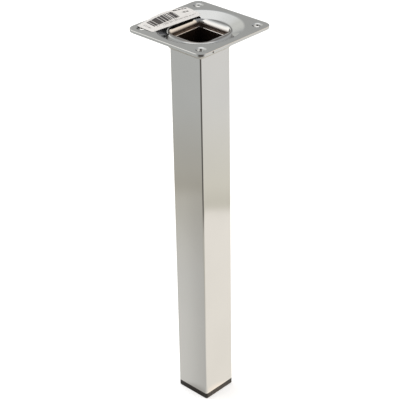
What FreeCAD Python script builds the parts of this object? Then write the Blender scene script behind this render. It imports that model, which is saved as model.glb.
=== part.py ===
import FreeCAD, Part
import math
import os

# A square metal furniture leg. A square steel tube stands in the drawn collar of a pressed
# mounting plate and is welded to it underneath. A plastic plug closes the tube as a foot.
# All sizes are millimetres. +Z points up. The origin is the middle of the foot, on the floor.

V = FreeCAD.Vector
ROOT2 = math.sqrt(2)

# The whole leg
leg_height = 255.0            # floor to the plate's top face

# Square tube
tube_side = 25.0
tube_wall = 1.2
tube_corner_r = 1.5
tube_inner_corner_r = 0.4
tube_top_depth = 6.6          # plate's top face down to the tube's cut end
seam_width = 1.8              # weld seam that runs along the inside of one wall
seam_height = 0.35
seam_offset = 6.8             # seam's centre line from the middle of its wall
seam_root = 0.3               # depth to which the seam is sunk in the wall

# Pressed mounting plate
plate_overhang = 17.5         # tube's face to the plate's straight edge
plate_corner_r = 5.5
sheet = 1.75
blank_top_bevel = 0.4         # rolled-over upper edge of the blank
blank_under_bevel = 0.2
dish_margin = 3.5             # flat left between the dish and the plate's straight edges
dish_depth = 3.4              # plate's top face down to the bottom of the dish
dish_shoulder_r = 3.6         # upper radius where the flat turns down into the dish
valley_land = 0.25            # level strip at the bottom of the dish

# Raised lip round the square mouth, and the collar drawn down from it
collar_gap = 0.1              # clearance all round the tube
collar_wall = 1.45            # sheet thinned by drawing
collar_depth = 11.5           # plate's top face down to the collar's lower edge
lip_height = 1.05             # bottom of the dish up to the lip's crest
lip_side_run = 3.1            # mouth's side out to the crest, at the middle of a side
lip_corner_run = 0.55         # mouth's corner out to the crest
lip_corner_foot = 1.65        # mouth's corner out to the foot of the lip
lip_land = 0.1                # level strip along the crest
lip_drop = 2.35               # crest down to where the collar's wall is upright
mouth_angles = (0, 30, 58, 90)  # edges of the bands that round the mouth over
groove_depth = 0.9            # hollow that the lip leaves in the underside
groove_margin = 0.6           # groove's edge inside the lip's foot

# Screw holes
hole_edge = 6.5               # hole centres from the plate's edges
hole_d = 4.0
coin_d = 6.4                  # shallow coined seat for the screw head
coin_depth = 0.45

# Round rack mark in the blank's +X edge
mark_d = 1.1
mark_depth = 0.4
mark_from_corner = 9.7        # along the edge, from the -Y side of the plate
mark_drop = 0.95              # mark's centre below the plate's top face

# Weld under the collar
weld_leg = 1.6                # height of the bead on the tube
weld_toe = 0.12               # thickness of the bead at its lower end

# Foot plug
cap_height = 4.0
cap_bevel = 0.6
plug_length = 18.0            # part of the plug inside the tube
plug_gap = 0.08               # clearance between the fins and the tube
plug_core_inset = 1.3         # fins stand this far out of the core
plug_core_wall = 1.6
plug_core_r = 1.2
fin_count = 4
fin_thickness = 1.0
fin_lowest = 2.0              # cap's shoulder up to the first fin
fin_bevel = 0.4
fin_corner_cut = 0.9          # straight cut across each fin's corners
seam_relief = 0.15            # clearance of the fins round the weld seam
cap_core_floor = 2.0          # floor of the plug's hollow above the ground

# Fits and places that follow from the sizes above
plate_side = tube_side + 2 * plate_overhang
bore_half = tube_side / 2 + collar_gap
bore_corner_r = tube_corner_r + collar_gap
bore_reach = bore_half * ROOT2 - (ROOT2 - 1) * bore_corner_r
lip_foot_r = bore_reach + lip_corner_foot
valley_r = lip_foot_r + valley_land
dish_r = plate_side / 2 - dish_margin
dish_bottom_z = leg_height - dish_depth
crest_z = dish_bottom_z + lip_height
bore_top_z = crest_z - lip_drop
collar_end_z = leg_height - collar_depth
tube_top_z = leg_height - tube_top_depth
hole_spacing = plate_side - 2 * hole_edge
overrun = 1.0                 # how far a cutting shape runs past what it cuts


def corner_radius(half, reach):
    """Corner radius of a rounded square with its sides and its corners that far out."""
    return (half * ROOT2 - reach) / (ROOT2 - 1)


def rounded_square(half, corner_r, z):
    """Closed outline in a level plane, with a side and an arc for each quarter turn."""
    flat = half - corner_r
    arc = flat + corner_r / ROOT2
    edges = []
    for quarter in range(4):
        turn = FreeCAD.Rotation(V(0, 0, 1), 90 * quarter)
        start, side_end, middle, end = [
            turn.multVec(V(x, y, z))
            for x, y in ((half, -flat), (half, flat), (arc, arc), (flat, half))
        ]
        edges.append(Part.LineSegment(start, side_end).toShape())
        edges.append(Part.Arc(side_end, middle, end).toShape())
    return Part.Wire(edges)


def square_prism(half, corner_r, low, high):
    """Upright bar with a rounded square section."""
    base = Part.Face(rounded_square(half, corner_r, low))
    return base.extrude(V(0, 0, high - low))


def level_edges(shape, z, beyond):
    """Edges that lie in the plane z and further than beyond from the axis, on both axes together."""
    found = []
    for edge in shape.Edges:
        box = edge.BoundBox
        level = abs(box.ZMin - z) < 1e-6 and abs(box.ZMax - z) < 1e-6
        centre = edge.CenterOfMass
        if level and max(abs(centre.x), abs(centre.y)) > beyond:
            found.append(edge)
    return found


def dish_slope():
    """Angle of the dish's flank, from the shoulder's arc to the rim of the level bottom."""
    run = dish_r - valley_r
    spare = dish_shoulder_r - dish_depth
    return math.asin(dish_shoulder_r / math.hypot(run, spare)) - math.atan2(spare, run)


def dish_hollow():
    """Room above the sheet in the dish: rounded shoulder, straight flank, level bottom."""
    slope = dish_slope()
    arc_z = leg_height - dish_shoulder_r
    shoulder = []
    for turn in (0, slope / 2, slope):
        x = dish_r - dish_shoulder_r * math.sin(turn)
        shoulder.append(V(x, 0, arc_z + dish_shoulder_r * math.cos(turn)))
    roof_z = leg_height + overrun
    corners = [shoulder[2], V(valley_r, 0, dish_bottom_z), V(0, 0, dish_bottom_z)]
    corners += [V(0, 0, roof_z), V(dish_r, 0, roof_z), shoulder[0]]
    edges = [Part.Arc(*shoulder).toShape()]
    edges += [Part.LineSegment(a, b).toShape() for a, b in zip(corners, corners[1:])]
    return revolved(Part.Face(Part.Wire(edges)))


def dish_pan():
    """Underside of the dish, one sheet thickness below the hollow."""
    slope = dish_slope()
    mitre = sheet * math.tan(slope / 2)
    top_r = dish_r - dish_shoulder_r * math.tan(slope / 2) + mitre
    top_z = leg_height - sheet
    under_z = dish_bottom_z - sheet
    corners = [V(0, 0, top_z), V(top_r, 0, top_z), V(valley_r + mitre, 0, under_z), V(0, 0, under_z)]
    return revolved(Part.Face(Part.makePolygon(corners + corners[:1])))


def revolved(face):
    """Full turn of a half section about the leg's axis."""
    return face.revolve(V(0, 0, 0), V(0, 0, 1), 360)


def blank():
    """Flat plate with its rolled-over edges, as it leaves the blanking tool."""
    low = leg_height - sheet
    plate = square_prism(plate_side / 2, plate_corner_r, low, leg_height)
    rim = plate_side / 2 - plate_corner_r
    plate = plate.makeChamfer(blank_top_bevel, level_edges(plate, leg_height, rim))
    return plate.makeChamfer(blank_under_bevel, level_edges(plate, low, rim))


def lip_section(share_out, rise):
    """Outline on the lip's outer flank, from its foot at share_out 1 to its crest at 0."""
    crest_half = bore_half + lip_side_run + lip_land
    crest_reach = bore_reach + lip_corner_run + lip_land
    half = crest_half + (lip_foot_r - crest_half) * share_out
    reach = crest_reach + (lip_foot_r - crest_reach) * share_out
    return rounded_square(half, corner_radius(half, reach), dish_bottom_z + lip_height * rise)


def lip_flank():
    """Solid of the raised lip: from a circle at the bottom of the dish to its squarer crest."""
    circle_step = 0.004       # keeps a short straight side in the round outline
    sections = [lip_section(1 - circle_step, 0), lip_section(0, 1)]
    return Part.makeLoft(sections, True, True)


def mouth_section(angle):
    """Outline of the mouth on its quarter-round way from the crest at 0 to the bore at 90."""
    turn = math.radians(angle)
    out = 1 - math.sin(turn)
    half = bore_half + lip_side_run * out
    reach = bore_reach + lip_corner_run * out
    return rounded_square(half, corner_radius(half, reach), bore_top_z + lip_drop * math.cos(turn))


def mouth():
    """Everything that is open in the middle of the plate: the round-over and the collar's bore."""
    round_over = Part.makeLoft([mouth_section(angle) for angle in mouth_angles], True, True)
    above = Part.Face(mouth_section(0)).extrude(V(0, 0, overrun))
    bore = square_prism(bore_half, bore_corner_r, collar_end_z - overrun, bore_top_z)
    return round_over.fuse([above, bore])


def underside_groove(collar):
    """Hollow that the raised lip leaves in the underside, outside the collar."""
    foot = V(0, 0, dish_bottom_z - sheet)
    ring = Part.makeCone(lip_foot_r - groove_margin, bore_half + lip_side_run, groove_depth, foot)
    return ring.cut(collar)


def screw_hole(x, y):
    """Through hole with its shallow coined seat."""
    drill = Part.makeCylinder(hole_d / 2, sheet + 2 * overrun, V(x, y, leg_height - sheet - overrun))
    seat = Part.makeCone(hole_d / 2, coin_d / 2, coin_depth, V(x, y, leg_height - coin_depth))
    return drill.fuse([seat, Part.makeCylinder(coin_d / 2, overrun, V(x, y, leg_height))])


def rack_mark():
    """Small round pit that the plating rack leaves in the plate's edge."""
    edge_x = plate_side / 2
    place = V(edge_x - mark_depth, mark_from_corner - edge_x, leg_height - mark_drop)
    return Part.makeCylinder(mark_d / 2, mark_depth + overrun, place, V(1, 0, 0))


def mounting_plate():
    """Pressed plate: flat rim, round dish, raised lip and drawn square collar in one sheet."""
    outer_half = bore_half + collar_wall
    collar = square_prism(outer_half, bore_corner_r + collar_wall, collar_end_z, dish_bottom_z)
    plate = blank().fuse([dish_pan(), collar])
    plate = plate.cut(dish_hollow()).fuse(lip_flank())
    plate = plate.cut(underside_groove(collar)).cut(mouth())
    for x in (-hole_spacing / 2, hole_spacing / 2):
        for y in (-hole_spacing / 2, hole_spacing / 2):
            plate = plate.cut(screw_hole(x, y))
    return plate.cut(rack_mark()).removeSplitter()


def seam_bead(height, width, low, high):
    """Rounded ridge on the inside of the tube's -X wall."""
    face_x = tube_wall - tube_side / 2
    root_x = face_x - seam_root
    ends = [V(face_x, seam_offset + side * width / 2, low) for side in (-1, 1)]
    roots = [V(root_x, end.y, low) for end in ends]
    top = V(face_x + height, seam_offset, low)
    profile = Part.Wire([
        Part.LineSegment(roots[0], ends[0]).toShape(),
        Part.Arc(ends[0], top, ends[1]).toShape(),
        Part.LineSegment(ends[1], roots[1]).toShape(),
        Part.LineSegment(roots[1], roots[0]).toShape(),
    ])
    return Part.Face(profile).extrude(V(0, 0, high - low))


def leg_tube():
    """Square tube with the weld seam inside one wall."""
    outside = square_prism(tube_side / 2, tube_corner_r, cap_height, tube_top_z)
    inner_half = tube_side / 2 - tube_wall
    inside = square_prism(inner_half, tube_inner_corner_r, cap_height - overrun, tube_top_z + overrun)
    seam = seam_bead(seam_height, seam_width, cap_height, tube_top_z)
    return outside.cut(inside).fuse(seam).removeSplitter()


def collar_weld():
    """Fillet bead that joins the collar's lower edge to the tube, all the way round."""
    top_half = bore_half + collar_wall - weld_toe
    top = rounded_square(top_half, bore_corner_r + collar_wall - weld_toe, collar_end_z)
    toe_half = tube_side / 2 + weld_toe
    toe = rounded_square(toe_half, tube_corner_r + weld_toe, collar_end_z - weld_leg)
    bead = Part.makeLoft([toe, top], True, True)
    tube = square_prism(
        tube_side / 2, tube_corner_r, collar_end_z - weld_leg - overrun, collar_end_z + overrun
    )
    return bead.cut(tube)


def fin_outline(half, z):
    """Square outline with its corners cut across."""
    flat = half - fin_corner_cut
    points = []
    for quarter in range(4):
        turn = FreeCAD.Rotation(V(0, 0, 1), 90 * quarter)
        points += [turn.multVec(V(half, y, z)) for y in (-flat, flat)]
    return Part.makePolygon(points + points[:1])


def plug_fin(low):
    """One flexible fin of the plug, bevelled where it enters the tube."""
    half = tube_side / 2 - tube_wall - plug_gap
    edge_z = low + fin_thickness - fin_bevel
    blade = Part.Face(fin_outline(half, low)).extrude(V(0, 0, edge_z - low))
    top = fin_outline(half - fin_bevel, low + fin_thickness)
    return blade.fuse(Part.makeLoft([fin_outline(half, edge_z), top], True, True))


def foot_plug():
    """Plastic foot: a cap as wide as the tube, and a hollow finned core that grips inside it."""
    cap = square_prism(tube_side / 2, tube_corner_r, 0, cap_height)
    cap = cap.makeChamfer(cap_bevel, level_edges(cap, 0, plug_core_wall))
    core_half = tube_side / 2 - tube_wall - plug_core_inset
    core_top = cap_height + plug_length
    core = square_prism(core_half, plug_core_r, cap_height, core_top)
    fin_pitch = (plug_length - fin_lowest - fin_thickness) / fin_count
    fins = [plug_fin(cap_height + fin_lowest + k * fin_pitch) for k in range(fin_count)]
    plug = cap.fuse([core] + fins)
    hollow_half = core_half - plug_core_wall
    hollow = square_prism(hollow_half, plug_core_r / 2, cap_core_floor, core_top + overrun)
    relief = seam_bead(
        seam_height + seam_relief, seam_width + 2 * seam_relief, cap_height, core_top
    )
    return plug.cut(hollow).cut(relief).removeSplitter()


def main():
    """Build every piece and write one file for each."""
    os.makedirs("parts", exist_ok=True)
    pieces = {
        "mounting_plate": mounting_plate(),
        "leg_tube": leg_tube(),
        "collar_weld": collar_weld(),
        "foot_plug": foot_plug(),
    }
    for name, shape in pieces.items():
        shape.exportStep("parts/" + name + ".step")
        print(name, "solids", len(shape.Solids), "valid", shape.isValid(), "mm3", round(shape.Volume, 2))


main()
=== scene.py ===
"""Looks of a square plated table leg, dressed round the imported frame.

The leg is a square steel tube that stands in the drawn collar of a pressed screw plate, with a
weld under the plate and a plastic plug as its foot. A paper label is stuck on the plate.

Each metal and plastic piece is a profile carried round the leg's axis. A point of a profile is
three numbers: how far out the middle of a side lies, how far out the corner lies, and the height.
With the first two alike the outline is a circle, so one profile can pass from a round dish to a
square mouth. Sizes in the classes are millimetres, and the meshes are metres.
"""

import logging
import math
from collections.abc import Callable, Sequence
from dataclasses import dataclass, field, replace
from enum import Enum

import bpy
import numpy as np
from mathutils import Matrix, Vector
from mathutils.geometry import delaunay_2d_cdt


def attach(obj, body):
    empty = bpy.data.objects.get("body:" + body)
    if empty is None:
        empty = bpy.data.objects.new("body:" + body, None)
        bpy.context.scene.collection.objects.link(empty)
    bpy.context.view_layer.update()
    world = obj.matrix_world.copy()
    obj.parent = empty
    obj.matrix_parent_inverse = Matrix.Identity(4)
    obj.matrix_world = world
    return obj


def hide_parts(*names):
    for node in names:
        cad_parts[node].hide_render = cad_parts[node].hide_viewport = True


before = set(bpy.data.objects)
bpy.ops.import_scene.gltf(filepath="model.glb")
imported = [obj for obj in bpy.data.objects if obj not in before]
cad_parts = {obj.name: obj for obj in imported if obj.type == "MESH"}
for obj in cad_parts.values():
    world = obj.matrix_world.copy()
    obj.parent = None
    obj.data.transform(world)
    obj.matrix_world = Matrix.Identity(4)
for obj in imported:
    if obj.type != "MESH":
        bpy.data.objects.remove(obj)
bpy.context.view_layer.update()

MM = 0.001
ROOT2 = math.sqrt(2.0)
IMAGE_SIDE = 400
WHITE = (1.0, 1.0, 1.0, 1.0)

# Step, in millimetres or radians, over which the direction of a surface is measured.
TINY_STEP = 1e-4
# Length under which a vector counts as nothing.
SMALLEST = 1e-12
# Distance under which the triangulation takes two points for one.
MERGE_DISTANCE = 1e-7
# Its way of working in which it fills everything inside the outermost points.
WHOLE_HULL = 0
# Number of extra directions round a small detail.
EXTRA_ANGLES = 25
# The two distances of a profile point count half each beside its height.
PROFILE_WEIGHT = (0.5, 0.5, 1.0)
# The mix node has inputs and outputs for each kind of value. These are the ones for colours.
MIX_INPUTS = (0, 6, 7)
MIX_RESULT = 2

log = logging.getLogger("table_leg")

Colour = tuple[float, float, float]
Stops = Sequence[tuple[float, Colour]]
Socket = bpy.types.NodeSocket


class Surface(Enum):
    """Names of the finishes, one beside each piece in main, where they are not used."""

    PLATE = "plated_plate"
    TUBE = "plated_tube"
    WELD = "plated_weld"
    PLASTIC = "black_plastic"
    PAPER = "paper_label"


@dataclass(frozen=True)
class Bend:
    """One rounded corner of a profile.

    Attributes:
        half: Distance from the axis to the middle of a side.
        reach: Distance from the axis to the corner.
        z: Height.
        before: Length that the rounding takes from the line that comes in.
        after: Length that it takes from the line that goes on, or None for the same length.
        steps: Number of pieces that the rounding is divided into.
        rows: Number of extra rings on the straight line that follows.
        wear: How much the corner is worn, from 0 to 1.
        bare_and_shade: How little plating reached the place, from 0 to 1; at the lip's crest, how dark
            the painted shade is.
        bare_and_shade_end: The same at the end of the rounding, or None for the same value.
        fade_in: Distance ahead of the rounding where wear begins, or 0 for the corner before.
        fade_out: Distance past it where wear has ended, or 0 for the corner that follows.
    """

    half: float
    reach: float
    z: float
    before: float = 0.0
    after: float | None = None
    steps: int = 5
    rows: int = 0
    wear: float = 0.0
    bare_and_shade: float = 0.0
    bare_and_shade_end: float | None = None
    fade_in: float = 0.0
    fade_out: float = 0.0


@dataclass(frozen=True)
class Path:
    """Rounded profile: its points, the direction of travel, and each point's wear and bare value."""

    points: np.ndarray
    ahead: np.ndarray
    marks: np.ndarray


def length_of(line: np.ndarray) -> float:
    """Length of a step in a profile, where moving a side and its corner out by 1 counts as 1."""
    return math.sqrt((line[0] ** 2 + line[1] ** 2) / 2 + line[2] ** 2)


def circle_bend(radius: float, z: float, **more: float) -> Bend:
    """Corner of a profile whose outline is a circle there."""
    return Bend(radius, radius, z, **more)


def square_reach(half: float, corner_r: float) -> float:
    """Distance to the corner of a square: its diagonal less what the corner's radius takes off."""
    return half * ROOT2 - (ROOT2 - 1) * corner_r


def rounded_path(bends: Sequence[Bend], closed: bool) -> Path:
    """Rounds the corners of a profile.

    A rounding starts at S on the line that comes in, bends round the corner K and ends at E. For a
    turn of t, the point at the angle p is S + ((cos(t - p) - cos t)(K - S) + (1 - cos p)(E - K)) /
    (1 - cos t), which is a circle's arc where both lengths are alike, and an oval's arc otherwise.

    Args:
        bends: The corners in order. The first and last of an open profile are plain ends.
        closed: Whether the profile joins up with its start.

    Returns:
        The profile with an arc of points at each corner.
    """
    corners = np.array([(b.half, b.reach, b.z) for b in bends], dtype=float)
    count = len(bends)
    points: list[np.ndarray] = []
    ahead: list[np.ndarray] = []
    marks: list[np.ndarray] = []
    for k, bend in enumerate(bends):
        come = corners[k] - corners[k - 1]
        go = corners[(k + 1) % count] - corners[k]
        come_unit = come / max(length_of(come), SMALLEST)
        go_unit = go / max(length_of(go), SMALLEST)
        if not closed and k in (0, count - 1):
            end_line = go_unit if k == 0 else come_unit
            arc = corners[k][None]
            arc_ahead = end_line[None]
        else:
            cosine = np.sum(come_unit * go_unit * np.array(PROFILE_WEIGHT))
            turn = math.acos(float(np.clip(cosine, -1, 1)))
            way_in = come_unit * bend.before
            way_out = go_unit * (bend.before if bend.after is None else bend.after)
            part = np.linspace(0, turn, bend.steps + 1)[:, None]
            scale = 1 / (1 - math.cos(turn))
            arc = corners[k] - way_in + scale * (
                (np.cos(turn - part) - math.cos(turn)) * way_in + (1 - np.cos(part)) * way_out
            )
            arc_ahead = np.sin(turn - part) * way_in + np.sin(part) * way_out
        bare_and_shade_end = bend.bare_and_shade if bend.bare_and_shade_end is None else bend.bare_and_shade_end
        bare_and_shade = np.clip(np.linspace(bend.bare_and_shade, bare_and_shade_end, len(arc)), 0, 1)
        mark = np.stack([np.full(len(arc), bend.wear), bare_and_shade], -1)
        if bend.fade_in:
            arc = np.concatenate([arc[:1] - come_unit * bend.fade_in, arc])
            arc_ahead = np.concatenate([arc_ahead[:1], arc_ahead])
            mark = np.concatenate([mark[:1] * [[0, 1]], mark])
        if bend.fade_out:
            arc = np.concatenate([arc, arc[-1:] + go_unit * bend.fade_out])
            arc_ahead = np.concatenate([arc_ahead, arc_ahead[-1:]])
            mark = np.concatenate([mark, mark[-1:] * [[0, 1]]])
        points.append(arc)
        ahead.append(arc_ahead)
        marks.append(mark)
        if bend.rows and (closed or k < count - 1):
            following = bends[(k + 1) % count]
            inset = following.before if closed or k < count - 2 else 0.0
            stop = corners[(k + 1) % count] - go_unit * inset
            share = (np.arange(bend.rows) + 1)[:, None] / (bend.rows + 1)
            points.append(arc[-1] + (stop - arc[-1]) * share)
            ahead.append(np.repeat(go_unit[None], bend.rows, axis=0))
            between = np.clip(bare_and_shade_end, 0, 1) * (1 - share[:, 0]) + following.bare_and_shade * share[:, 0]
            marks.append(np.stack([np.zeros(bend.rows), between], -1))
    return Path(np.concatenate(points), np.concatenate(ahead), np.concatenate(marks))


def outline_radius(half: np.ndarray, reach: np.ndarray, angle: np.ndarray) -> np.ndarray:
    """Distance from the axis to a rounded square in a direction.

    The direction is folded to the eighth of a turn between the middle of a side and a corner. On
    the side the distance is half / cos. On the corner's arc, whose middle is at (f, f), it is
    f(cos + sin) + sqrt(r^2 - f^2 (cos - sin)^2), with r the corner's radius.

    Args:
        half: Distance to the middle of a side.
        reach: Distance to the corner.
        angle: Direction in radians.

    Returns:
        The distances, in the shape that the three arrays give together.
    """
    fold = np.abs((angle + math.pi / 4) % (math.pi / 2) - math.pi / 4)
    flat = (reach - half) / (ROOT2 - 1)
    corner_r = half - flat
    cos, sin = np.cos(fold), np.sin(fold)
    under_root = corner_r**2 - (flat * (cos - sin)) ** 2
    arc = flat * (cos + sin) + np.sqrt(np.maximum(under_root, 0.0))
    return np.where(half * np.tan(fold) <= flat, half / cos, arc)


def turn_angles(count: int, crowding: float) -> np.ndarray:
    """Directions round the axis, closer together at the corners: angle + crowding sin(4 angle)."""
    even = np.arange(count) * (2 * math.pi / count)
    return even + crowding * np.sin(4 * even)


Deform = Callable[[np.ndarray, np.ndarray], np.ndarray]
Stain = Callable[[np.ndarray], np.ndarray]


def unchanged(points: np.ndarray, rings: np.ndarray) -> np.ndarray:
    """Leaves a carried profile as it is."""
    return points


def carried(rings: np.ndarray, angles: np.ndarray, deform: Deform) -> np.ndarray:
    """Profile carried round the axis: x = d cos a, y = d sin a, with d from outline_radius.

    Args:
        rings: Profile points, as half, reach and height.
        angles: Directions round the axis.
        deform: Change that is made to the finished points.

    Returns:
        Points as an array of rings by directions by three.
    """
    half, reach, z = (rings[:, k, None] for k in range(3))
    distance = outline_radius(half, reach, angles[None])
    points = np.stack([distance * np.cos(angles), distance * np.sin(angles), z + 0 * distance], -1)
    return deform(points, rings)


def pushed(points: np.ndarray, amount: np.ndarray) -> np.ndarray:
    """Points that are each moved along +X by an amount of their own."""
    moved = points.copy()
    moved[..., 0] += amount
    return moved


def seam_hump(points: np.ndarray, middle_y: float, half_width: float) -> np.ndarray:
    """Hump over the tube's seam on the -X side: 0.5 + 0.5 cos(pi d), with d up to 1 at its edges."""
    away = np.clip(np.abs(points[..., 1] - middle_y) / half_width, 0, 1)
    return np.where(points[..., 0] < 0, 0.5 + 0.5 * np.cos(math.pi * away), 0)


def unit(vectors: np.ndarray) -> np.ndarray:
    """Vectors scaled to a length of 1."""
    return vectors / np.maximum(np.linalg.norm(vectors, axis=-1, keepdims=True), SMALLEST)


class Shell:
    """Closed surface that is gathered block by block, with exact normals and each point's wear and bare
    value.
    """

    def __init__(self) -> None:
        """Starts with no points and no faces."""
        self.points: list[np.ndarray] = []
        self.normals: list[np.ndarray] = []
        self.marks: list[np.ndarray] = []
        self.faces: list[np.ndarray] = []
        self.count = 0

    def add_points(self, points: np.ndarray, normals: np.ndarray, marks: np.ndarray) -> np.ndarray:
        """Adds points.

        Args:
            points: Places, in millimetres.
            normals: Outward directions.
            marks: Each point's wear and bare value, or a shape that spreads to that.

        Returns:
            The index of each point, in the shape that they came in.
        """
        shape = points.shape[:-1]
        amount = int(np.prod(shape))
        self.points.append(points.reshape(-1, 3))
        self.normals.append(normals.reshape(-1, 3))
        self.marks.append(np.broadcast_to(marks, (*shape, 2)).reshape(-1, 2))
        index = np.arange(self.count, self.count + amount).reshape(shape)
        self.count += amount
        return index

    def add_quads(self, index: np.ndarray, close_rows: bool, close_columns: bool) -> None:
        """Joins a grid of points with four-sided faces: each point, the next row, the next column.

        Args:
            index: Point numbers on a grid.
            close_rows: Whether the last row joins the first.
            close_columns: Whether the last column joins the first.
        """
        below = np.roll(index, -1, axis=0)
        quads = np.stack([index, below, np.roll(below, -1, axis=1), np.roll(index, -1, axis=1)], -1)
        rows = len(index) if close_rows else len(index) - 1
        columns = index.shape[1] if close_columns else index.shape[1] - 1
        self.faces.append(quads[:rows, :columns].reshape(-1, 4))

    def add_sweep(
        self,
        path: Path,
        angles: np.ndarray,
        closed: bool = False,
        deform: Deform = unchanged,
        centre: tuple[float, float] = (0.0, 0.0),
        stain: Stain | None = None,
    ) -> np.ndarray:
        """Carries a profile round an upright axis.

        The normal is the cross product of two small steps on the same formula: one ahead on the
        profile and one round the axis.

        Args:
            path: The profile.
            angles: Directions round the axis.
            closed: Whether the profile joins up with its start.
            deform: Change that is made to the finished points.
            centre: Place of the axis.
            stain: Tells each finished point's bare value, on top of the profile's marks.

        Returns:
            Point numbers, as rings by directions.
        """
        step = path.ahead / np.linalg.norm(path.ahead, axis=1, keepdims=True) * TINY_STEP
        points = carried(path.points, angles, deform)
        ahead = carried(path.points + step, angles, deform)
        ahead = ahead - carried(path.points - step, angles, deform)
        around = carried(path.points, angles + TINY_STEP, deform)
        around = around - carried(path.points, angles - TINY_STEP, deform)
        normals = unit(np.cross(ahead, around))
        points = points + np.array([centre[0], centre[1], 0.0])
        marks = np.repeat(path.marks[:, None], len(angles), axis=1)
        if stain is not None:
            marks[..., 1] = np.maximum(marks[..., 1], stain(points))
        index = self.add_points(points, normals, marks)
        self.add_quads(index, closed, True)
        return index

    def add_fan(self, ring: np.ndarray, z: float, up: bool) -> None:
        """Closes a ring round the axis with triangles to one point.

        Args:
            ring: Point numbers of the ring.
            z: Height of the point.
            up: Whether the fan faces up.
        """
        normal = np.array([[0.0, 0.0, 1.0 if up else -1.0]])
        pole = self.add_points(np.array([[0.0, 0.0, z]]), normal, np.zeros(2))[0]
        following = np.roll(ring, -1)
        hub = np.full_like(ring, pole)
        order = [hub, ring, following] if up else [hub, following, ring]
        self.faces.append(np.stack(order, -1))

    def add_flat(
        self, loops: Sequence[np.ndarray], keep: Callable[[np.ndarray], np.ndarray], up: bool
    ) -> None:
        """Fills the level field between loops that exist already, with triangles.

        Args:
            loops: Point numbers of each border.
            keep: Tells which triangles are wanted, from their middles.
            up: Whether the field faces up.
        """
        index = np.concatenate(loops)
        flat = np.concatenate(self.points)[index][:, :2]
        sizes = [len(loop) for loop in loops]
        starts = np.cumsum([0] + sizes[:-1])
        edges = [
            (int(start + k), int(start + (k + 1) % size))
            for start, size in zip(starts, sizes)
            for k in range(size)
        ]
        places = [Vector(place) for place in flat.tolist()]
        _, _, triangles, sources, _, _ = delaunay_2d_cdt(
            places, edges, [], WHOLE_HULL, MERGE_DISTANCE
        )
        origin = np.array([ids[0] for ids in sources])
        corners = origin[np.array([list(triangle) for triangle in triangles])]
        corners = corners[keep(flat[corners].mean(axis=1))]
        a, b, c = (flat[corners[:, k]] for k in range(3))
        area = (b[:, 0] - a[:, 0]) * (c[:, 1] - a[:, 1]) - (b[:, 1] - a[:, 1]) * (c[:, 0] - a[:, 0])
        flip = (area > 0) != up
        corners[flip] = corners[flip][:, ::-1]
        self.faces.append(index[corners])

    def build(self, name: str) -> bpy.types.Object:
        """Makes the scene's object, smooth, with the worked-out normals.

        Args:
            name: Name of the object.

        Returns:
            The object, at the origin, in metres.
        """
        points = np.concatenate(self.points) * MM
        normals = unit(np.concatenate(self.normals))
        faces = [row for block in self.faces for row in block.tolist()]
        mesh = bpy.data.meshes.new(name)
        mesh.from_pydata(points.tolist(), [], faces)
        mesh.polygons.foreach_set("use_smooth", np.ones(len(faces), dtype=bool))
        marks = np.concatenate(self.marks).astype(np.float32)
        for column, label in enumerate(("wear", "bare_and_shade")):
            values = mesh.attributes.new(label, "FLOAT", "POINT")
            values.data.foreach_set("value", marks[:, column].copy())
        mesh.normals_split_custom_set_from_vertices(normals.tolist())
        mesh.update()
        piece = bpy.data.objects.new(name, mesh)
        bpy.context.scene.collection.objects.link(piece)
        return piece


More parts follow.
